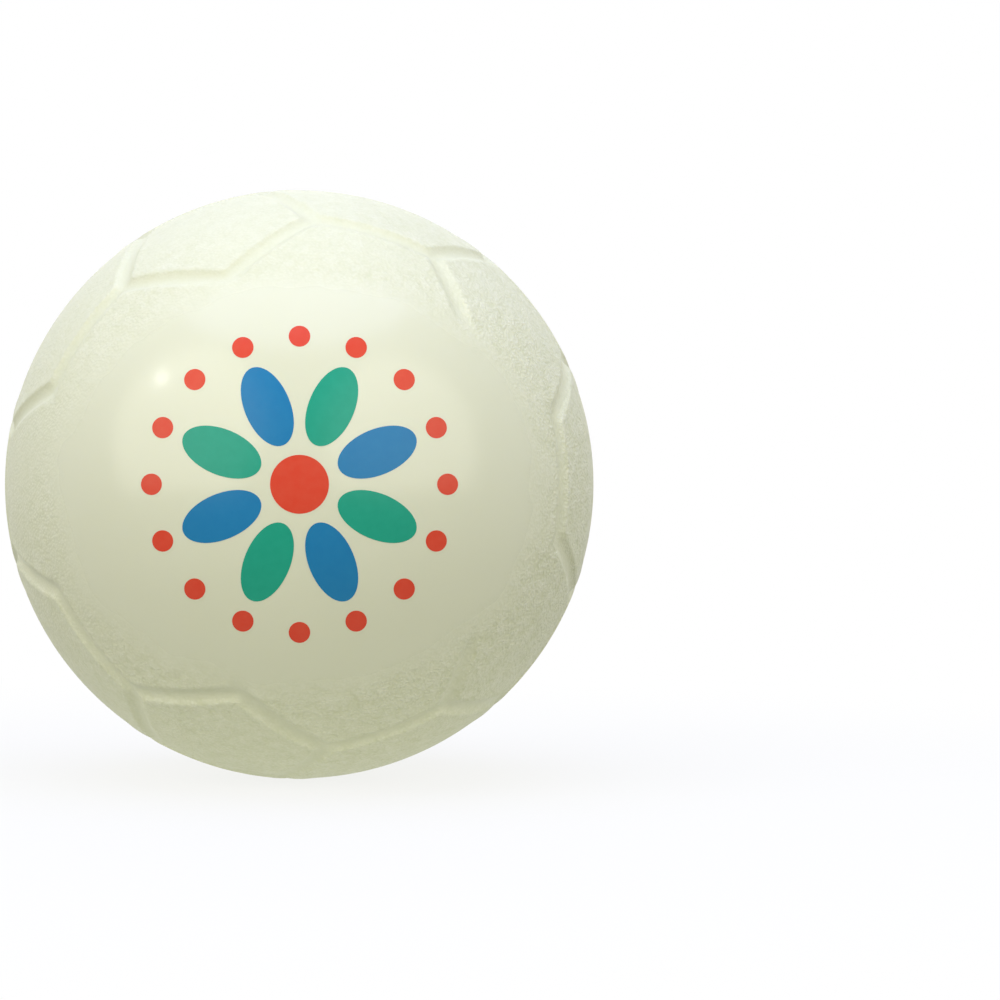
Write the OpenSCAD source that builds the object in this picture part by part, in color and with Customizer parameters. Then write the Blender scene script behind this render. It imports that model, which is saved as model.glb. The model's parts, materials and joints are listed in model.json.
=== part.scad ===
// Mini soccer ball: a hollow ball moulded in one piece of soft vinyl. Seam channels in its skin draw
// the five- and six-sided panels, a smooth oval pad without channels faces the front, and a needle
// valve sits in the middle of the back panel.
// Millimetres. The origin is the ball's centre, +Z is up, the pad faces -Y and the valve faces +Y.

/* [Ball] */

// Outside diameter over the panels
ball_d = 102; // [90:1:130]
// Thickness of the vinyl skin
wall = 1.8; // [1.6:0.1:3]

/* [Seam channels] */

// Width of a channel
channel_w = 3.6; // [2.4:0.1:4.4]
// Depth of a channel below the panels
channel_depth = 0.45; // [0.3:0.05:0.9]
// Turn of the panels about the front-to-back axis, in degrees
seam_turn = 1.5; // [-3:0.5:3]

/* [Front pad] */

// Width of the oval without channels
pad_w = 82; // [80:0.5:83]
// Height of the oval without channels
pad_h = 67; // [66:0.5:68]

/* [Valve] */

// Outside diameter of the thick ring of vinyl round the valve, inside the ball
boss_d = 18; // [16:0.5:24]
// How far that ring stands in from the skin
boss_h = 5; // [3:0.5:8]
// Diameter of the seat that is welded into the ring
seat_d = 10; // [9.5:0.1:11]
// Diameter of the seat's flange, inside the ball
flange_d = 14.5; // [12:0.5:15.5]
// Thickness of the seat's flange
flange_t = 1.2; // [0.8:0.1:2]
// How far the seat's outer face lies below the top of the ball
seat_recess = 0.45; // [0.4:0.05:0.8]
// Diameter of the rubber core where it runs through the seat
core_d = 5.8; // [5:0.1:6.2]
// Diameter of the core's head
head_d = 7.8; // [7:0.1:8.2]
// Thickness of the core's head
head_t = 1.4; // [1:0.1:2]
// Length of the core behind its head
stem_h = 10.6; // [9.5:0.1:14]
// Length of the core's tapered tip
tip_h = 2.6; // [1:0.1:4]
// Diameter of the hole that takes the pump needle
needle_hole_d = 2.4; // [2.2:0.1:2.6]
// Depth of that hole from the core's outer face
needle_hole_h = 7; // [5:0.5:7.5]
// Diameter of the countersink that leads the needle in
lead_d = 3.8; // [3:0.1:4.2]
// Gap between the core and the seat on every side
core_gap = 0.05; // [0.02:0.01:0.1]

/* [Hidden] */

$fn = 120;
eps = 0.5;

ball_r = ball_d / 2;
inner_r = ball_r - wall;
floor_r = ball_r - channel_depth;

// Heights of the valve parts along the front-to-back axis
boss_y = inner_r - boss_h;
seat_y = ball_r - seat_recess;
flange_y = boss_y - flange_t;
ledge_y = seat_y - head_t - core_gap;
stem_y = seat_y - head_t - stem_h;
lead_h = (lead_d - needle_hole_d) / 2;

// The oval pad is two round caps side by side. Both touch the oval's ends, and they cross at the
// pad's full height
pad_half_w = asin(pad_w / ball_d);
pad_half_h = asin(pad_h / ball_d);
cap_tilt = atan((cos(pad_half_h) - cos(pad_half_w)) / sin(pad_half_w));
cap_half = pad_half_w - cap_tilt;

// Corners of an icosahedron with one corner at the front and one at the back. Each corner is the
// middle of a five-sided panel
ring_tilt = atan(2);
ring = [for (k = [0:4]) 180 + seam_turn + 72 * k];
corners = concat(
    [[0, -1, 0]],
    [for (a = ring) on_ball(ring_tilt, a)],
    [for (a = ring) on_ball(180 - ring_tilt, a + 36)],
    [[0, 1, 0]]
);
last = len(corners) - 1;

// Seams between two six-sided panels lie on the middle third of the icosahedron's edges
long_seams = [
    for (i = [0:last]) for (j = [i + 1:1:last])
    if (linked(i, j)) [toward(i, j), toward(j, i)]
];

// Seams round the five-sided panels
ring_seams = [
    for (i = [0:last]) for (j = [0:last]) for (k = [j + 1:1:last])
    if (linked(i, j) && linked(i, k) && linked(j, k)) [toward(i, j), toward(i, k)]
];

// A seam whose middle lies on the pad is left off whole
seams = [for (s = concat(long_seams, ring_seams)) if (!on_pad(unit(s[0] + s[1]))) s];

function unit(v) = v / norm(v);
function on_ball(t, a) = [sin(t) * cos(a), -cos(t), sin(t) * sin(a)];
function linked(i, j) = i != j && norm(corners[i] - corners[j]) < 1.1;
function toward(i, j) = unit(2 * corners[i] + corners[j]);
function cap_axis(side) = [side * sin(cap_tilt), -cos(cap_tilt), 0];
function on_cap(v, side) = v * cap_axis(side) > cos(cap_half);
function on_pad(v) = on_cap(v, 1) || on_cap(v, -1);

// Turns what is drawn along +Z so that it lies along +Y
module along_y() {
    rotate([-90, 0, 0]) children();
}

// A ball whose poles lie in the middle of the front and back panels, clear of every channel
module ball(r) {
    along_y() rotate([0, 0, 18 - seam_turn]) sphere(r = r);
}

// One channel: a straight slab across the skin, from just past one seam corner to just past the other
module channel(seam) {
    mid = unit(seam[0] + seam[1]);
    run = unit(seam[1] - seam[0]);
    side = cross(mid, run);
    reach = ball_r * norm(seam[1] - seam[0]) + channel_w * 0.8;
    multmatrix([
        [run[0], side[0], mid[0], 0],
        [run[1], side[1], mid[1], 0],
        [run[2], side[2], mid[2], 0],
        [0, 0, 0, 1]
    ])
    translate([-reach / 2, -channel_w / 2, ball_r * 0.95])
    cube([reach, channel_w, ball_r * 0.06]);
}

// One of the two round caps of the pad, as a cone from the ball's centre
module pad_cap(side) {
    rotate([90, 0, side * cap_tilt])
    translate([0, 0, ball_r * 0.5])
    cylinder(
        h = ball_r * 0.7,
        r1 = ball_r * 0.5 * tan(cap_half),
        r2 = ball_r * 1.2 * tan(cap_half)
    );
}

module channels() {
    difference() {
        union() {
            for (s = seams) channel(s);
        }
        ball(floor_r);
        pad_cap(1);
        pad_cap(-1);
    }
}

// The vinyl skin, with the thick ring that carries the valve
module ball_shell() {
    color("#DDDFC8")
    difference() {
        ball(ball_r);
        channels();
        difference() {
            ball(inner_r);
            along_y() translate([0, 0, boss_y]) cylinder(h = ball_r, d = boss_d);
        }
        along_y() cylinder(h = ball_r + eps, d = seat_d);
    }
}

// The bush welded into the ring: its flange lies against the ring inside the ball, and the core's
// head drops into the wider mouth of its bore
module valve_seat() {
    bore_r = core_d / 2 + core_gap;
    mouth_r = head_d / 2 + core_gap;
    color("#C9CBB2")
    along_y()
    rotate_extrude()
    polygon([
        [bore_r, flange_y],
        [flange_d / 2, flange_y],
        [flange_d / 2, boss_y],
        [seat_d / 2, boss_y],
        [seat_d / 2, seat_y],
        [mouth_r, seat_y],
        [mouth_r, ledge_y],
        [bore_r, ledge_y]
    ]);
}

// The soft rubber core: a headed plug with a blind hole for the pump needle. It pulls out along +Y
module valve_core() {
    head_y = seat_y - head_t;
    color("#8A8468")
    along_y()
    rotate_extrude()
    polygon([
        [0, stem_y],
        [core_d * 0.3, stem_y],
        [core_d / 2, stem_y + tip_h],
        [core_d / 2, head_y],
        [head_d / 2, head_y],
        [head_d / 2, seat_y],
        [lead_d / 2, seat_y],
        [needle_hole_d / 2, seat_y - lead_h],
        [needle_hole_d / 2, seat_y - needle_hole_h],
        [0, seat_y - needle_hole_h]
    ]);
}

ball_shell();
valve_seat();
valve_core();
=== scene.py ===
"""Mini soccer ball, dressed for looks: a cream ball moulded in one piece of soft vinyl, with seam channels
round its panels, pebble grain, a smooth satin pad with a small print, and a needle valve at the back."""

import json
import math

import bmesh
import bpy
import numpy as np
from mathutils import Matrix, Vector

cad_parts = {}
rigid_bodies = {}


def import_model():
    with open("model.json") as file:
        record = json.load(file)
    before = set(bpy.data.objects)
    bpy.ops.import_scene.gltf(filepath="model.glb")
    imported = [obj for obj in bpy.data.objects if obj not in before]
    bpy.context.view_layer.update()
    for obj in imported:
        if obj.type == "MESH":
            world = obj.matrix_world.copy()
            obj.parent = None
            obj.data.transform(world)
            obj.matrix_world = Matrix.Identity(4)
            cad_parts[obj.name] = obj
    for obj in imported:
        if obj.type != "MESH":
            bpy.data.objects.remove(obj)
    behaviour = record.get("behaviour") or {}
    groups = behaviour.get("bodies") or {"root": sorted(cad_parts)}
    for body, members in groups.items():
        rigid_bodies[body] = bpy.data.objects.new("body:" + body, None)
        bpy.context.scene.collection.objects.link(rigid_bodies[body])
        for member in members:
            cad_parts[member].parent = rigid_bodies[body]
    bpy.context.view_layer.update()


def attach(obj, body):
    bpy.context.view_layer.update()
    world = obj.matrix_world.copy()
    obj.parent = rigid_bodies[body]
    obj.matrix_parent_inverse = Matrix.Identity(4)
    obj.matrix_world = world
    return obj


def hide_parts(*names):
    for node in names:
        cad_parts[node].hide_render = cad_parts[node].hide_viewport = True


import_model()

MM = 0.001

# Sizes of the part, in metres, as its source has them
BALL_R = 51 * MM
WALL = 1.8 * MM
PAD_W = 82 * MM
PAD_H = 67 * MM
BOSS_R = 9 * MM
BOSS_H = 5 * MM
SEAT_R = 5 * MM
SEAT_RECESS = 0.45 * MM
FLANGE_R = 7.25 * MM
FLANGE_T = 1.2 * MM
CORE_R = 2.9 * MM
CORE_GAP = 0.05 * MM
HEAD_R = 3.9 * MM
HEAD_T = 1.4 * MM
STEM_H = 10.6 * MM
TIP_H = 2.6 * MM
TIP_R = 0.6 * CORE_R
NEEDLE_R = 1.2 * MM
NEEDLE_H = 7 * MM
LEAD_R = 1.9 * MM

INNER_R = BALL_R - WALL
BOSS_Y = INNER_R - BOSS_H
SEAT_Y = BALL_R - SEAT_RECESS
HEAD_Y = SEAT_Y - HEAD_T

# Turn of the panels about the front-to-back axis, in degrees, as the source has it
SEAM_TURN = 1.5

# The seam channels: round-bottomed troughs with a faint lip on each side. Widths are measured from the
# seam's middle. At the pad a channel fades out, between these distances from the pad's edge
CHANNEL_DEPTH = 0.58 * MM
CHANNEL_HALF = 1.85 * MM
LIP_RISE = 0.13 * MM
LIP_END = 4.2 * MM
FADE_FROM = -3.5 * MM
FADE_TO = 0.5 * MM

# Rounded edges: the rim of the valve hole, the bush and the plug
RIM_ROUND = 0.35 * MM
BUSH_ROUND = 0.15 * MM
PLUG_ROUND = 0.18 * MM
RIM_R = SEAT_R + RIM_ROUND

# The plug's head: a flat rim, and inside it a shallow dish with a sloping side
DISH_DEPTH = 0.12 * MM
DISH_RIM = 0.7 * MM
DISH_FLOOR = 1.0 * MM

# Fineness of the meshes: rows beside each seam and points along it, rows round the valve on the back
# panel, and steps of the rounded rim and the inside
SEAM_ROWS = [d * MM for d in (0.4, 0.8, 1.15, 1.45, 1.7, 1.95, 2.5, 3.7)]
SEAM_STEPS = 16
RING_POINTS = 5 * SEAM_STEPS
BACK_ROWS = 9
RIM_STEPS = 4
INSIDE_STEPS = 48
EDGE_SEGMENTS = 3

# Edges flatter than these angles are shaded smooth, and sharper ones of the valve are rounded off
SKIN_SMOOTH = math.radians(50)
VALVE_SMOOTH = math.radians(40)
VALVE_SHARP = math.radians(30)

# On an icosahedron: the angle between two linked corners, seen from the centre, and the distance that
# only linked corners come under when its radius is 1
LINK_ANGLE = math.atan(2)
LINK_LIMIT = 1.1

# A face whose normal has this much along an axis faces that way
FACING = 0.99

# Row number of the point in the middle of a panel
MIDDLE = -1


# Working in edit mode


def deselect():
    bpy.ops.object.select_all(action="DESELECT")


def start_editing(piece):
    deselect()
    piece.select_set(True)
    bpy.context.view_layer.objects.active = piece
    bpy.ops.object.mode_set(mode="EDIT")
    bpy.context.tool_settings.mesh_select_mode = (False, True, False)


def stop_editing():
    bpy.ops.object.mode_set(mode="OBJECT")


def select_where(kind, test):
    """Select only the edges or faces of the mesh in edit mode that pass the test."""
    bpy.ops.mesh.select_all(action="DESELECT")
    mesh = bmesh.from_edit_mesh(bpy.context.object.data)
    for part in getattr(mesh, kind):
        if test(part):
            part.select_set(True)
    bmesh.update_edit_mesh(bpy.context.object.data)


def name_new(name):
    """Name the object that was just added, and bake its place into its mesh."""
    piece = bpy.context.object
    piece.name = name
    piece.data.name = name
    bpy.ops.object.transform_apply(location=True, rotation=True, scale=True)
    return piece


def apply_modifier(piece, kind, **settings):
    deselect()
    piece.select_set(True)
    bpy.context.view_layer.objects.active = piece
    modifier = piece.modifiers.new(kind.lower(), kind)
    for key, value in settings.items():
        setattr(modifier, key, value)
    bpy.ops.object.modifier_apply(modifier=modifier.name)


def extrude_ring(profile):
    """Extrude the selected ring of edges from point to point of a profile of (radius, height) about the
    valve's axis. A radius of nothing closes the ring at the axis."""
    for (r0, y0), (r1, y1) in zip(profile, profile[1:]):
        bpy.ops.mesh.extrude_edges_move(TRANSFORM_OT_translate={"value": (0, y1 - y0, 0)})
        if r1 == 0:
            bpy.ops.mesh.merge(type="CENTER")
        elif r1 != r0:
            bpy.ops.transform.resize(value=(r1 / r0, 1, r1 / r0), center_override=(0, 0, 0))


def add_ring(radius, height):
    bpy.ops.mesh.primitive_circle_add(
        vertices=RING_POINTS,
        radius=radius,
        location=(0, height, 0),
        rotation=(math.pi / 2, 0, 0),
    )


# The panels


def pad_caps():
    """The two round caps that make up the oval pad: their axes, and their half angle."""
    half_w = math.asin(PAD_W / 2 / BALL_R)
    half_h = math.asin(PAD_H / 2 / BALL_R)
    tilt = math.atan((math.cos(half_h) - math.cos(half_w)) / math.sin(half_w))
    axes = [np.array([s * math.sin(tilt), -math.cos(tilt), 0]) for s in (1, -1)]
    return axes, half_w - tilt


def outside_pad(points):
    """How far each direction on the ball lies outside the pad, in metres. Inside the pad it is negative."""
    axes, half = pad_caps()
    nearest = np.min([np.arccos(np.clip(points @ a, -1, 1)) for a in axes], axis=0)
    return (nearest - half) * BALL_R


def seams():
    """Both ends of every seam channel, as directions. A seam whose middle lies on the pad is left off."""

    def on_ball(t, a):
        return np.array([math.sin(t) * math.cos(a), -math.cos(t), math.sin(t) * math.sin(a)])

    ring = [math.radians(180 + SEAM_TURN + 72 * k) for k in range(5)]
    corners = [np.array([0, -1.0, 0])]
    corners += [on_ball(LINK_ANGLE, a) for a in ring]
    corners += [on_ball(math.pi - LINK_ANGLE, a + math.pi / 5) for a in ring]
    corners += [np.array([0, 1.0, 0])]
    count = range(len(corners))

    def linked(i, j):
        return i != j and np.linalg.norm(corners[i] - corners[j]) < LINK_LIMIT

    def toward(i, j):
        third = 2 * corners[i] + corners[j]
        return third / np.linalg.norm(third)

    found = [(toward(i, j), toward(j, i)) for i in count for j in count if i < j and linked(i, j)]
    found += [
        (toward(i, j), toward(i, k))
        for i in count
        for j in count
        for k in count
        if j < k and linked(i, j) and linked(i, k) and linked(j, k)
    ]
    middles = np.array([(a + b) / np.linalg.norm(a + b) for a, b in found])
    return [s for s, off in zip(found, outside_pad(middles)) if off > 0]


def seam_distance(points):
    """Distance over the ball from each direction to the nearest seam, in metres."""
    nearest = np.full(len(points), math.pi)
    for a, b in seams():
        across = np.cross(a, b)
        across /= np.linalg.norm(across)
        middle = (a + b) / np.linalg.norm(a + b)
        run = np.cross(across, middle)
        along = np.abs(np.arctan2(points @ run, points @ middle))
        beside = np.abs(np.arcsin(np.clip(points @ across, -1, 1)))
        to_end = np.arccos(np.clip(np.maximum(points @ a, points @ b), -1, 1))
        half = math.acos(float(np.clip(a @ b, -1, 1))) / 2
        nearest = np.minimum(nearest, np.where(along <= half, beside, to_end))
    return nearest * BALL_R


def ease(value, low, high):
    """Nothing at low, one at high, and a soft S between them."""
    t = np.clip((value - low) / (high - low), 0, 1)
    return t * t * (3 - 2 * t)


def draw_panels():
    """A ball of five- and six-sided panels: an icosahedron with its corners cut off a third of the way
    along its edges, with rows of faces along every seam."""
    # The cut corners lie this share of the icosahedron's radius from the centre
    corner_reach = math.sqrt((5 + 4 * math.cos(LINK_ANGLE)) / 9)
    deselect()
    bpy.ops.mesh.primitive_ico_sphere_add(
        subdivisions=1,
        radius=BALL_R / corner_reach,
        rotation=(math.radians(90), math.radians(36 - SEAM_TURN), 0),
    )
    skin = name_new("ball_skin")
    start_editing(skin)
    bpy.ops.mesh.select_all(action="SELECT")
    bpy.ops.mesh.bevel(offset_type="PERCENT", offset_pct=100 / 3, affect="VERTICES")

    # Rows beside the seams: every panel is inset again and again, and each ring remembers its number
    mesh = bmesh.from_edit_mesh(skin.data)
    mesh.verts.layers.int.new("row")
    bmesh.update_edit_mesh(skin.data)
    bpy.context.tool_settings.mesh_select_mode = (False, False, True)
    bpy.ops.mesh.select_all(action="SELECT")
    reached = 0
    for number, row in enumerate(SEAM_ROWS, 1):
        bpy.ops.mesh.inset(thickness=row - reached, use_individual=True)
        reached = row
        mesh = bmesh.from_edit_mesh(skin.data)
        layer = mesh.verts.layers.int["row"]
        for v in mesh.verts:
            if v.select:
                v[layer] = number
        bmesh.update_edit_mesh(skin.data)

    # The back panel is opened for the valve, and the others get a middle point
    select_where("faces", lambda f: len(f.verts) == 5 and f.normal.y > FACING)
    bpy.ops.mesh.delete(type="ONLY_FACE")
    before = len(bmesh.from_edit_mesh(skin.data).verts)
    select_where("faces", lambda f: len(f.verts) > 4)
    bpy.ops.mesh.poke()
    mesh = bmesh.from_edit_mesh(skin.data)
    mesh.verts.ensure_lookup_table()
    layer = mesh.verts.layers.int["row"]
    for v in mesh.verts[before:]:
        v[layer] = MIDDLE
    bmesh.update_edit_mesh(skin.data)

    # The seams and panels are cut finely along their length, and the rows stay as wide as they are
    def runs_along(e):
        a, b = (v[layer] for v in e.verts)
        return a == b or MIDDLE in (a, b)

    bpy.context.tool_settings.mesh_select_mode = (False, True, False)
    select_where("edges", runs_along)
    bpy.ops.mesh.subdivide(number_cuts=SEAM_STEPS - 1)
    return skin


def rim_height():
    """Height along the valve's axis at which the ball is as wide as the rim of the valve hole."""
    return math.sqrt(BALL_R**2 - RIM_R**2)


def open_valve_panel():
    """Join the back panel's edge to the round rim of the valve hole."""
    add_ring(RIM_R, rim_height())
    mesh = bmesh.from_edit_mesh(bpy.context.object.data)
    for e in mesh.edges:
        if e.is_boundary:
            e.select_set(True)
    bmesh.update_edit_mesh(bpy.context.object.data)
    bpy.ops.mesh.bridge_edge_loops(number_cuts=BACK_ROWS)


def round_to_ball(piece):
    """Push every point out to one ball round the origin. Cast takes the mean size, so the ball is then
    scaled to its own."""
    apply_modifier(piece, "CAST", cast_type="SPHERE", factor=1.0)
    scale = BALL_R / piece.data.vertices[0].co.length
    start_editing(piece)
    bpy.ops.mesh.select_all(action="SELECT")
    bpy.ops.transform.resize(value=(scale, scale, scale), center_override=(0, 0, 0))
    stop_editing()


def press(skin, name, amount, depth):
    """Move each point of the skin in by the depth times its amount, or out where the depth is negative."""
    group = skin.vertex_groups.new(name=name)
    for i, part in enumerate(amount):
        group.add([i], float(part), "REPLACE")
    apply_modifier(
        skin, "DISPLACE", vertex_group=name, strength=-depth, mid_level=0, direction="NORMAL"
    )
    skin.vertex_groups.clear()


def press_channels(skin):
    """Press the channels into the round skin, and store how deep each point lies for the finish."""
    points = np.empty(len(skin.data.vertices) * 3)
    skin.data.vertices.foreach_get("co", points)
    points = points.reshape(-1, 3)
    points /= np.linalg.norm(points, axis=1)[:, None]
    away = seam_distance(points)
    shown = ease(outside_pad(points), FADE_FROM, FADE_TO)
    bowl = np.minimum(away / CHANNEL_HALF, 1) ** 2
    slope = np.clip((LIP_END - away) / (LIP_END - CHANNEL_HALF), 0, 1) ** 2
    trough = shown * (1 - bowl)
    lip = shown * bowl * slope
    press(skin, "channel", trough, CHANNEL_DEPTH)
    press(skin, "lip", lip, -LIP_RISE)
    stored = skin.data.attributes.new("channel", "FLOAT", "POINT")
    stored.data.foreach_set("value", trough)


def close_inside():
    """From the rim of the valve hole: through the thick ring, round it, and along the inside of the
    skin."""
    profile = [(RIM_R, rim_height())]
    for k in range(1, RIM_STEPS + 1):
        t = math.pi / 2 * k / RIM_STEPS
        profile.append((RIM_R - RIM_ROUND * math.sin(t), rim_height() - RIM_ROUND * (1 - math.cos(t))))
    profile += [(SEAT_R, BOSS_Y), (BOSS_R, BOSS_Y)]
    first = math.asin(BOSS_R / INNER_R)
    for k in range(INSIDE_STEPS):
        t = first + (math.pi - first) * k / INSIDE_STEPS
        profile.append((INNER_R * math.sin(t), INNER_R * math.cos(t)))
    profile.append((0, -INNER_R))
    select_where("edges", lambda e: e.is_boundary)
    extrude_ring(profile)


def make_ball_skin():
    skin = draw_panels()
    open_valve_panel()
    stop_editing()
    round_to_ball(skin)
    press_channels(skin)
    start_editing(skin)
    close_inside()
    stop_editing()
    bpy.ops.object.shade_smooth_by_angle(angle=SKIN_SMOOTH)
    return skin


ball_skin = make_ball_skin()
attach(ball_skin, "ball")
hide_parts("ball_shell")


# The valve


def soften_edges(piece, width):
    """Round off every sharp edge, as moulded rubber and vinyl come out of their tools."""
    apply_modifier(
        piece,
        "BEVEL",
        width=width,
        segments=EDGE_SEGMENTS,
        limit_method="ANGLE",
        angle_limit=VALVE_SHARP,
    )
    bpy.ops.object.shade_smooth_by_angle(angle=VALVE_SMOOTH)


def make_valve_seat():
    """The bush in the thick ring: a flange inside the ball, and a mouth that takes the core's head."""
    bore_r = CORE_R + CORE_GAP
    mouth_r = HEAD_R + CORE_GAP
    flange_y = BOSS_Y - FLANGE_T
    ledge_y = HEAD_Y - CORE_GAP
    profile = [
        (bore_r, ledge_y),
        (bore_r, flange_y),
        (FLANGE_R, flange_y),
        (FLANGE_R, BOSS_Y),
        (SEAT_R, BOSS_Y),
        (SEAT_R, SEAT_Y),
        (mouth_r, SEAT_Y),
        (mouth_r, ledge_y),
    ]
    deselect()
    add_ring(*profile[0])
    seat = name_new("valve_bush")
    start_editing(seat)
    bpy.ops.mesh.select_all(action="SELECT")
    extrude_ring(profile)
    select_where("edges", lambda e: e.is_boundary)
    bpy.ops.mesh.bridge_edge_loops()
    bpy.ops.mesh.select_all(action="SELECT")
    bpy.ops.mesh.normals_make_consistent()
    stop_editing()
    soften_edges(seat, BUSH_ROUND)
    return seat


def make_valve_core():
    """The rubber plug: tapered tip, stem, head with a shallow dish, and a hole that the pump needle goes
    in."""
    stem_y = HEAD_Y - STEM_H
    profile = [
        (TIP_R, stem_y),
        (CORE_R, stem_y + TIP_H),
        (CORE_R, HEAD_Y),
        (HEAD_R, HEAD_Y),
        (HEAD_R, SEAT_Y),
        (HEAD_R - DISH_RIM, SEAT_Y),
        (HEAD_R - DISH_FLOOR, SEAT_Y - DISH_DEPTH),
        (LEAD_R, SEAT_Y - DISH_DEPTH),
        (NEEDLE_R, SEAT_Y - (LEAD_R - NEEDLE_R)),
        (NEEDLE_R, SEAT_Y - NEEDLE_H),
        (0, SEAT_Y - NEEDLE_H),
    ]
    deselect()
    add_ring(*profile[0])
    core = name_new("valve_plug")
    start_editing(core)
    bpy.ops.mesh.select_all(action="SELECT")
    extrude_ring(profile)
    select_where("edges", lambda e: e.is_boundary)
    extrude_ring([profile[0], (0, stem_y)])
    bpy.ops.mesh.select_all(action="SELECT")
    bpy.ops.mesh.normals_make_consistent()
    stop_editing()
    soften_edges(core, PLUG_ROUND)
    return core


valve_seat = make_valve_seat()
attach(valve_seat, "ball")
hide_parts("valve_seat")

valve_core = make_valve_core()
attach(valve_core, "core")
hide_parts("valve_core")


# The print: a rosette of plain shapes in three inks, wrapped onto the pad

FILM_T = 0.05 * MM
FILM_RISE = 0.03 * MM
EYE_R = 4.6 * MM
PETAL_AT = 13.2 * MM
PETAL_LONG = 6.6 * MM
PETAL_WIDE = 3.6 * MM
PETALS = 8
DOT_AT = 23.4 * MM
DOT_R = 1.7 * MM
DOTS = 16

# The ovals are drawn flat at this place in front of the ball, with so many points round them. Rings of
# faces about so far apart inside them let them bend
DRAWN_Y = -1.2 * BALL_R
SPOT_POINTS = 48
SPOT_RING = 0.8 * MM


def draw_spot(at, angle, long, wide):
    """One oval of ink, drawn flat: its middle lies that far from the print's centre, and its long axis
    points to it."""
    rings = max(2, round(min(long, wide) / SPOT_RING))
    place = (at * math.cos(angle), DRAWN_Y, at * math.sin(angle))
    bpy.ops.mesh.primitive_circle_add(
        vertices=SPOT_POINTS,
        radius=wide,
        fill_type="NGON",
        location=place,
        rotation=(math.pi / 2, 0, 0),
    )
    for _ in range(rings):
        bpy.ops.mesh.inset(thickness=wide / (rings + 1))
    bpy.ops.mesh.poke()
    bpy.ops.mesh.select_linked()
    bpy.ops.transform.resize(value=(long / wide, 1, 1), center_override=place)
    bpy.ops.transform.rotate(value=angle, orient_axis="Y", center_override=place)


def print_ink(name, spots):
    """One ink: its ovals are drawn flat, wrapped straight back onto the ball, and given the film's
    thickness."""
    deselect()
    bpy.ops.mesh.primitive_circle_add(vertices=3, radius=MM)
    ink = name_new(name)
    start_editing(ink)
    bpy.ops.mesh.select_all(action="SELECT")
    bpy.ops.mesh.delete(type="VERT")
    for spot in spots:
        bpy.ops.mesh.select_all(action="DESELECT")
        draw_spot(*spot)
    stop_editing()
    apply_modifier(
        ink,
        "SHRINKWRAP",
        target=ball_skin,
        wrap_method="PROJECT",
        use_project_y=True,
        offset=FILM_RISE,
    )
    apply_modifier(ink, "SOLIDIFY", thickness=FILM_T, offset=-1)
    bpy.ops.object.shade_smooth_by_angle(angle=SKIN_SMOOTH)
    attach(ink, "ball")
    return ink


def petals(first):
    """Every second petal of the rosette."""
    turn = 2 * math.pi / PETALS
    return [(PETAL_AT, turn * (k + 0.5), PETAL_LONG, PETAL_WIDE) for k in range(first, PETALS, 2)]


dots = [(DOT_AT, 2 * math.pi * k / DOTS, DOT_R, DOT_R) for k in range(DOTS)]
print_red = print_ink("print_red", [(0, 0, EYE_R, EYE_R)] + dots)
print_blue = print_ink("print_blue", petals(0))
print_green = print_ink("print_green", petals(1))


# Finishes


def linear(code):
    """A colour of the form #RRGGBB as linear red, green and blue, and an alpha of 1."""
    out = []
    for k in (1, 3, 5):
        c = int(code[k : k + 2], 16) / 255
        out.append(c / 12.92 if c <= 0.04045 else ((c + 0.055) / 1.055) ** 2.4)
    return (*out, 1.0)


def add_node(tree, kind, inputs=None, **settings):
    """Add a node with its settings. An input takes a value, or a socket that is linked to it."""
    node = tree.nodes.new(kind)
    for key, value in settings.items():
        setattr(node, key, value)
    for key, value in (inputs or {}).items():
        if isinstance(value, bpy.types.NodeSocket):
            tree.links.new(value, node.inputs[key])
        else:
            node.inputs[key].default_value = value
    return node


def new_material(name):
    material = bpy.data.materials.new(name)
    material.use_nodes = True
    tree = material.node_tree
    tree.nodes.clear()
    shader = add_node(tree, "ShaderNodeBsdfPrincipled")
    add_node(tree, "ShaderNodeOutputMaterial", {"Surface": shader.outputs["BSDF"]})
    return material, tree, shader


def grain_cover(tree, place):
    """One where the mould's grain covers the panels, nothing on the pad: an oval of about 80 by 66 mm on
    the front. Its edge wanders a millimetre or so, and the grain comes in over about 7 mm."""
    # Half axes of the oval, and the size and the share of the wander of its edge
    half_w = 39.5 * MM
    half_h = 32.7 * MM
    wander_size = 10 * MM
    wander_share = 0.15
    # How far out the pad is bare, and where the grain is full, in half axes with the wander added
    bare_to = 0.99
    full_from = 1.18
    axis = add_node(tree, "ShaderNodeSeparateXYZ", {0: place}).outputs
    wide = add_node(tree, "ShaderNodeMath", {0: axis["X"], 1: half_w}, operation="DIVIDE").outputs[0]
    high = add_node(tree, "ShaderNodeMath", {0: axis["Z"], 1: half_h}, operation="DIVIDE").outputs[0]
    oval = add_node(tree, "ShaderNodeCombineXYZ", {"X": wide, "Y": high}).outputs[0]
    reach = add_node(tree, "ShaderNodeVectorMath", {0: oval}, operation="LENGTH").outputs["Value"]
    wander = add_node(
        tree,
        "ShaderNodeTexNoise",
        {"Vector": place, "Scale": 1 / wander_size, "Detail": 2.0, "Roughness": 0.5},
    ).outputs["Fac"]
    edge = add_node(
        tree, "ShaderNodeMath", {0: wander, 1: wander_share, 2: reach}, operation="MULTIPLY_ADD"
    ).outputs[0]
    front = add_node(
        tree,
        "ShaderNodeMapRange",
        {"Value": edge, "From Min": bare_to, "From Max": full_from},
        interpolation_type="SMOOTHSTEP",
    ).outputs["Result"]
    back = add_node(tree, "ShaderNodeMath", {0: axis["Y"], 1: 0.0}, operation="GREATER_THAN").outputs[0]
    return add_node(tree, "ShaderNodeMath", {0: front, 1: back}, operation="MAXIMUM").outputs[0]


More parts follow.
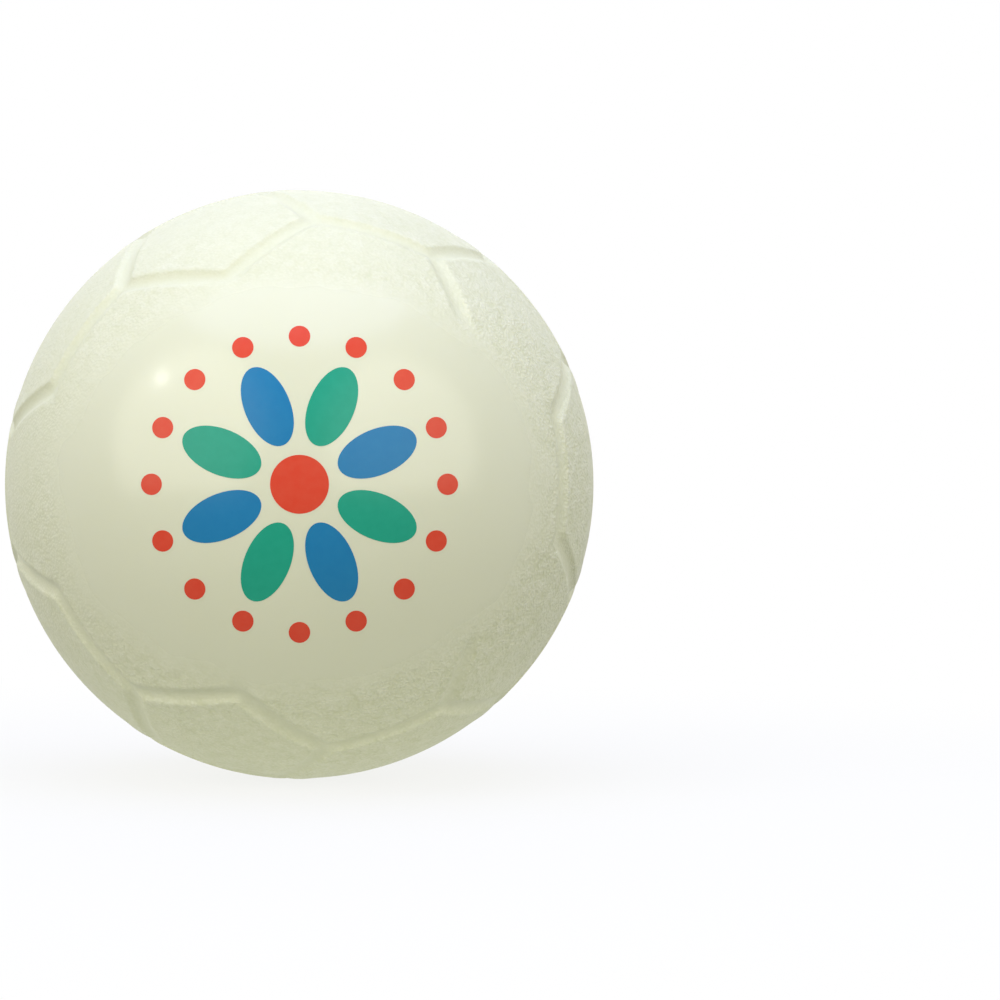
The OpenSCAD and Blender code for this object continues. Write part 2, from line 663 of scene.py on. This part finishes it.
def grain_relief(tree, place):
    """Height of the grain about its mean: fine pebbles 0.5 mm across on softer wrinkles of 2 mm. The mould
    is worn smoother in patches, and the grain is crisper to the right and below."""
    # A pebble falls off from its middle, so its share is negative
    pebble_size = 0.5 * MM
    pebble_share = -0.5
    wrinkle_size = 2.0 * MM
    mean_height = 0.3
    # Patches of wear, and the way in which the grain gets crisper across the ball
    patch_size = 18 * MM
    crisp_way = (1, 0, -0.85)
    crisp_gain = 0.45 / BALL_R
    pebble = add_node(
        tree,
        "ShaderNodeTexVoronoi",
        {"Vector": place, "Scale": 1 / pebble_size, "Smoothness": 0.6},
        feature="SMOOTH_F1",
    ).outputs["Distance"]
    wrinkle = add_node(
        tree,
        "ShaderNodeTexNoise",
        {"Vector": place, "Scale": 1 / wrinkle_size, "Detail": 4.0, "Roughness": 0.6},
    ).outputs["Fac"]
    height = add_node(
        tree, "ShaderNodeMath", {0: pebble, 1: pebble_share, 2: wrinkle}, operation="MULTIPLY_ADD"
    ).outputs[0]
    height = add_node(
        tree, "ShaderNodeMath", {0: height, 1: mean_height}, operation="SUBTRACT"
    ).outputs[0]
    patch = add_node(
        tree, "ShaderNodeTexNoise", {"Vector": place, "Scale": 1 / patch_size, "Detail": 1.0}
    ).outputs["Fac"]
    worn = add_node(
        tree,
        "ShaderNodeMapRange",
        {"Value": patch, "From Min": 0.3, "From Max": 0.7, "To Min": 1.0, "To Max": 1.4},
    ).outputs["Result"]
    crisp = add_node(
        tree, "ShaderNodeVectorMath", {0: place, 1: crisp_way}, operation="DOT_PRODUCT"
    ).outputs["Value"]
    worn = add_node(
        tree, "ShaderNodeMath", {0: crisp, 1: crisp_gain, 2: worn}, operation="MULTIPLY_ADD"
    ).outputs[0]
    return add_node(tree, "ShaderNodeMath", {0: height, 1: worn}, operation="MULTIPLY").outputs[0]


def ball_vinyl():
    """Soft PVC, rotation moulded: creamy, a little translucent and satin. The mould's pebble grain dulls
    the panels, the pad comes out smooth, and the channels have less grain."""
    # What a channel's floor takes from the grain and from its dullness, and the painted shade that darkens
    # its colour
    channel_smooth = -0.65
    channel_gloss = -0.1
    channel_painted_shade = 0.12
    # Share of the darker cream at the grain's mean height, and what a higher point takes from it: painted
    # shade in the pits of the grain and painted light on its tops
    mean_shade = 0.28
    painted_shade_per_height = -0.9
    cloud_size = 16 * MM
    material, tree, shader = new_material("soft_vinyl_moulded_cream")
    place = add_node(tree, "ShaderNodeTexCoord").outputs["Object"]
    channel = add_node(tree, "ShaderNodeAttribute", attribute_name="channel").outputs["Fac"]
    cover = grain_cover(tree, place)

    # Satin on the pad, dull on the grain, and a little less dull in the channels
    dull = add_node(
        tree, "ShaderNodeMapRange", {"Value": cover, "To Min": 0.18, "To Max": 0.6}
    ).outputs["Result"]
    dull = add_node(
        tree, "ShaderNodeMath", {0: channel, 1: channel_gloss, 2: dull}, operation="MULTIPLY_ADD"
    ).outputs[0]
    tree.links.new(dull, shader.inputs["Roughness"])

    # The grain's relief, on the panels and, more weakly, in the channels
    raised = add_node(
        tree, "ShaderNodeMath", {0: channel, 1: channel_smooth, 2: 1.0}, operation="MULTIPLY_ADD"
    ).outputs[0]
    grainy = add_node(tree, "ShaderNodeMath", {0: cover, 1: raised}, operation="MULTIPLY").outputs[0]
    relief = grain_relief(tree, place)
    height = add_node(tree, "ShaderNodeMath", {0: relief, 1: grainy}, operation="MULTIPLY").outputs[0]
    bump = add_node(
        tree, "ShaderNodeBump", {"Height": height, "Strength": 0.8, "Distance": 0.22 * MM}
    ).outputs["Normal"]
    tree.links.new(bump, shader.inputs["Normal"])

    # Faint clouds of colour, as unevenly fused vinyl shows, and painted shade in the pits of the grain and
    # on the channels' floors
    cloud = add_node(
        tree, "ShaderNodeTexNoise", {"Vector": place, "Scale": 1 / cloud_size, "Detail": 3.0}
    ).outputs["Fac"]
    tint = add_node(
        tree,
        "ShaderNodeMix",
        {"Factor": cloud, "A": linear("#E4E4CC"), "B": linear("#E9E9D4")},
        data_type="RGBA",
    ).outputs["Result"]
    painted_shade = add_node(
        tree, "ShaderNodeMath", {0: height, 1: painted_shade_per_height, 2: mean_shade}, operation="MULTIPLY_ADD"
    ).outputs[0]
    painted_shade = add_node(
        tree,
        "ShaderNodeMath",
        {0: channel, 1: channel_painted_shade, 2: painted_shade},
        operation="MULTIPLY_ADD",
        use_clamp=True,
    ).outputs[0]
    # A fixed share of the darker cream is the vinyl's own colour; more of it is painted shade in pits and
    # channels, less is painted light on the grain's tops
    colour_with_painted_shade = add_node(
        tree,
        "ShaderNodeMix",
        {"Factor": painted_shade, "A": tint, "B": linear("#D0D2AE")},
        data_type="RGBA",
    ).outputs["Result"]
    tree.links.new(colour_with_painted_shade, shader.inputs["Base Color"])
    shader.inputs["IOR"].default_value = 1.5
    shader.inputs["Subsurface Weight"].default_value = 0.15
    shader.inputs["Subsurface Radius"].default_value = (1.0, 0.9, 0.6)
    shader.inputs["Subsurface Scale"].default_value = 0.8 * MM
    return material


def ring_scale(spacing):
    """Scale at which a wave texture draws its rings that far apart."""
    return math.pi / 10 / spacing


def bush_vinyl():
    """Stiffer PVC, injection moulded: the same cream, a shade deeper, with the fine rings that the turned
    mould leaves."""
    ring_spacing = 0.35 * MM
    cloud_size = 3 * MM
    material, tree, shader = new_material("stiff_vinyl_moulded_cream")
    place = add_node(tree, "ShaderNodeTexCoord").outputs["Object"]
    rings = add_node(
        tree,
        "ShaderNodeTexWave",
        {"Vector": place, "Scale": ring_scale(ring_spacing), "Distortion": 0.6, "Detail": 2.0},
        wave_type="RINGS",
        rings_direction="Y",
    ).outputs["Fac"]
    bump = add_node(
        tree, "ShaderNodeBump", {"Height": rings, "Strength": 0.5, "Distance": 0.02 * MM}
    ).outputs["Normal"]
    tree.links.new(bump, shader.inputs["Normal"])
    rough = add_node(
        tree, "ShaderNodeMapRange", {"Value": rings, "To Min": 0.4, "To Max": 0.5}
    ).outputs["Result"]
    tree.links.new(rough, shader.inputs["Roughness"])
    cloud = add_node(
        tree, "ShaderNodeTexNoise", {"Vector": place, "Scale": 1 / cloud_size, "Detail": 3.0}
    ).outputs["Fac"]
    tint = add_node(
        tree,
        "ShaderNodeMix",
        {"Factor": cloud, "A": linear("#C8CAAA"), "B": linear("#D2D3B8")},
        data_type="RGBA",
    ).outputs["Result"]
    tree.links.new(tint, shader.inputs["Base Color"])
    shader.inputs["IOR"].default_value = 1.54
    return material


def plug_rubber():
    """Natural rubber, compression moulded: tan, matt, with a dusty bloom and the fine pits of a blasted
    mould."""
    pit_size = 0.25 * MM
    bloom_size = 2.2 * MM
    material, tree, shader = new_material("natural_rubber_moulded_tan")
    place = add_node(tree, "ShaderNodeTexCoord").outputs["Object"]
    pits = add_node(
        tree, "ShaderNodeTexNoise", {"Vector": place, "Scale": 1 / pit_size, "Detail": 3.0}
    ).outputs["Fac"]
    bump = add_node(
        tree, "ShaderNodeBump", {"Height": pits, "Strength": 0.6, "Distance": 0.04 * MM}
    ).outputs["Normal"]
    tree.links.new(bump, shader.inputs["Normal"])
    bloom = add_node(
        tree, "ShaderNodeTexNoise", {"Vector": place, "Scale": 1 / bloom_size, "Detail": 5.0}
    ).outputs["Fac"]
    rough = add_node(
        tree, "ShaderNodeMapRange", {"Value": bloom, "To Min": 0.6, "To Max": 0.8}
    ).outputs["Result"]
    tree.links.new(rough, shader.inputs["Roughness"])
    dust = add_node(
        tree,
        "ShaderNodeMapRange",
        {"Value": bloom, "From Min": 0.4, "From Max": 0.75},
        interpolation_type="SMOOTHSTEP",
    ).outputs["Result"]
    tint = add_node(
        tree,
        "ShaderNodeMix",
        {"Factor": dust, "A": linear("#8E815F"), "B": linear("#A3987C")},
        data_type="RGBA",
    ).outputs["Result"]
    tree.links.new(tint, shader.inputs["Base Color"])
    shader.inputs["IOR"].default_value = 1.52
    return material


def print_film(name, colour, thin):
    """Pad printing ink on vinyl: one even satin film, a little thinner in clouds, with a fine orange-peel
    skin."""
    cloud_size = 1.6 * MM
    peel_size = 0.5 * MM
    material, tree, shader = new_material("pad_printing_ink_" + name)
    place = add_node(tree, "ShaderNodeTexCoord").outputs["Object"]
    cloud = add_node(
        tree, "ShaderNodeTexNoise", {"Vector": place, "Scale": 1 / cloud_size, "Detail": 4.0}
    ).outputs["Fac"]
    spread = add_node(
        tree, "ShaderNodeMapRange", {"Value": cloud, "From Min": 0.35, "From Max": 0.75}
    ).outputs["Result"]
    tint = add_node(
        tree,
        "ShaderNodeMix",
        {"Factor": spread, "A": linear(colour), "B": linear(thin)},
        data_type="RGBA",
    ).outputs["Result"]
    tree.links.new(tint, shader.inputs["Base Color"])
    peel = add_node(
        tree, "ShaderNodeTexNoise", {"Vector": place, "Scale": 1 / peel_size, "Detail": 2.0}
    ).outputs["Fac"]
    bump = add_node(
        tree, "ShaderNodeBump", {"Height": peel, "Strength": 0.3, "Distance": 0.02 * MM}
    ).outputs["Normal"]
    tree.links.new(bump, shader.inputs["Normal"])
    shader.inputs["Roughness"].default_value = 0.26
    shader.inputs["Specular IOR Level"].default_value = 0.3
    shader.inputs["IOR"].default_value = 1.5
    return material


ball_skin.data.materials.append(ball_vinyl())
valve_seat.data.materials.append(bush_vinyl())
valve_core.data.materials.append(plug_rubber())
print_red.data.materials.append(print_film("red", "#DD4226", "#DE4A2F"))
print_blue.data.materials.append(print_film("blue", "#0A78AE", "#127CB0"))
print_green.data.materials.append(print_film("green", "#0A9C7F", "#12A083"))


# Camera, lights and floor

# The ball's radius and centre in the picture, in pixels, and the camera's distance from the ball's centre
FRAME_PIXELS = 1000.0
BALL_PIXELS = 294.0
BALL_CENTRE = (299.5, 484.3)
CAMERA_REACH = 9.37 * BALL_R
SENSOR = 36.0
CLIP_START = 0.01

WHITE = (1, 1, 1, 1)


def place_camera():
    """Straight in front of the pad. The ball stands left of the middle, so the lens is shifted."""
    data = bpy.data.cameras.new("camera")
    camera = bpy.data.objects.new("camera", data)
    bpy.context.collection.objects.link(camera)
    camera.location = (0, -CAMERA_REACH, 0)
    camera.rotation_euler = (math.pi / 2, 0, 0)
    focal = BALL_PIXELS * math.sqrt((CAMERA_REACH / BALL_R) ** 2 - 1)
    data.sensor_width = SENSOR
    data.lens = focal / FRAME_PIXELS * SENSOR
    data.shift_x = (FRAME_PIXELS / 2 - BALL_CENTRE[0]) / FRAME_PIXELS
    data.shift_y = (BALL_CENTRE[1] - FRAME_PIXELS / 2) / FRAME_PIXELS
    data.clip_start = CLIP_START
    bpy.context.scene.camera = camera


def add_lamp(name, place, size, power, colour):
    """A round lamp that points at the ball."""
    data = bpy.data.lights.new(name, "AREA")
    data.shape = "DISK"
    data.size = size
    data.energy = power
    data.color = colour
    lamp = bpy.data.objects.new(name, data)
    bpy.context.collection.objects.link(lamp)
    lamp.location = place
    lamp.rotation_euler = (-Vector(place)).to_track_quat("-Z", "Y").to_euler()


def shown_white(tree):
    """One for what the camera, a mirror or glass looks at, nothing for what only lights the object."""
    path = add_node(tree, "ShaderNodeLightPath").outputs
    seen = add_node(
        tree,
        "ShaderNodeMath",
        {0: path["Is Camera Ray"], 1: path["Is Glossy Ray"]},
        operation="MAXIMUM",
    ).outputs[0]
    return add_node(
        tree, "ShaderNodeMath", {0: seen, 1: path["Is Transmission Ray"]}, operation="MAXIMUM"
    ).outputs[0]


def light_studio():
    """A light tent: white walls all round that give a little light back, a cool panel above, warm ones at
    both sides and behind, and one small window that leaves the bright spot on the pad."""
    wall_light = 0.52
    wall_colour = (0.93, 0.96, 1.0, 1)
    world = bpy.data.worlds.new("studio")
    bpy.context.scene.world = world
    world.use_nodes = True
    tree = world.node_tree
    tree.nodes.clear()
    seen = shown_white(tree)
    strength = add_node(
        tree, "ShaderNodeMapRange", {"Value": seen, "To Min": wall_light, "To Max": 1.0}
    ).outputs["Result"]
    colour = add_node(
        tree, "ShaderNodeMix", {"Factor": seen, "A": wall_colour, "B": WHITE}, data_type="RGBA"
    ).outputs["Result"]
    sky = add_node(
        tree, "ShaderNodeBackground", {"Color": colour, "Strength": strength}
    ).outputs[0]
    add_node(tree, "ShaderNodeOutputWorld", {"Surface": sky})
    cool = (0.565, 0.635, 1.0)
    warm = (1, 0.98, 0.86)
    add_lamp("tent_top", place=(-0.02, -0.09, 1.0), size=1.3, power=7.2, colour=cool)
    add_lamp("tent_left", place=(-0.81, -0.81, 0.37), size=1.4, power=8.4, colour=warm)
    add_lamp("tent_right", place=(0.75, -0.89, 0.31), size=1.4, power=7.6, colour=warm)
    add_lamp("tent_back", place=(0.05, 1.1, 0.3), size=0.9, power=2.1, colour=(1, 0.95, 0.78))
    add_lamp("side_window", place=(-0.73, -0.38, 0.56), size=0.06, power=0.19, colour=(1, 1, 1))


def lay_floor():
    """A plain white floor. The camera sees it white, with the ball's soft shadow round its foot. For the
    light that reaches the ball it glows warm, as painted uplight that is strongest at the ball's foot and
    lightens the ball's underside."""
    floor_size = 6
    # Distances from the ball's centre: its foot, and where the shadow and the strong painted uplight end
    foot = 0.05
    shadow_end = 0.25
    painted_uplight_end = 0.12
    # How much of the white shows at the foot, and how bright the painted uplight is there and far away
    shadow_white = 0.8
    painted_uplight_near = 0.64
    painted_uplight_far = 0.18
    painted_uplight_colour = (0.97, 1, 0.84, 1)
    deselect()
    bpy.ops.mesh.primitive_plane_add(size=floor_size, location=(0, 0, -BALL_R))
    floor = name_new("floor")
    material, tree, shader = new_material("white_acrylic_floor")
    seen = shown_white(tree)
    shader.inputs["Base Color"].default_value = (0.8, 0.8, 0.8, 1)
    shader.inputs["Roughness"].default_value = 0.9
    place = add_node(tree, "ShaderNodeTexCoord").outputs["Object"]
    away = add_node(tree, "ShaderNodeVectorMath", {0: place}, operation="LENGTH").outputs["Value"]
    whiter = add_node(
        tree,
        "ShaderNodeMapRange",
        {"Value": away, "From Min": foot, "From Max": shadow_end, "To Min": shadow_white, "To Max": 1.0},
        interpolation_type="SMOOTHSTEP",
    ).outputs["Result"]
    # Painted uplight: for the rays that light the ball the floor glows, most at the ball's foot, where it
    # fills in the shade of the ball's underside
    painted_uplight = add_node(
        tree,
        "ShaderNodeMapRange",
        {"Value": away, "From Min": foot, "From Max": painted_uplight_end, "To Min": painted_uplight_near, "To Max": painted_uplight_far},
        interpolation_type="SMOOTHSTEP",
    ).outputs["Result"]
    strength = add_node(
        tree, "ShaderNodeMapRange", {"Value": seen, "To Min": painted_uplight, "To Max": 1.0}
    ).outputs["Result"]
    colour = add_node(
        tree, "ShaderNodeMix", {"Factor": seen, "A": painted_uplight_colour, "B": WHITE}, data_type="RGBA"
    ).outputs["Result"]
    glow = add_node(tree, "ShaderNodeEmission", {"Color": colour, "Strength": strength}).outputs[0]
    part = add_node(
        tree, "ShaderNodeMapRange", {"Value": seen, "To Min": 1.0, "To Max": whiter}
    ).outputs["Result"]
    mixed = add_node(
        tree, "ShaderNodeMixShader", {0: part, 1: shader.outputs["BSDF"], 2: glow}
    ).outputs[0]
    end = next(n for n in tree.nodes if n.type == "OUTPUT_MATERIAL")
    tree.links.new(mixed, end.inputs["Surface"])
    floor.data.materials.append(material)


place_camera()
light_studio()
lay_floor()
bpy.context.scene.view_settings.view_transform = "Standard"
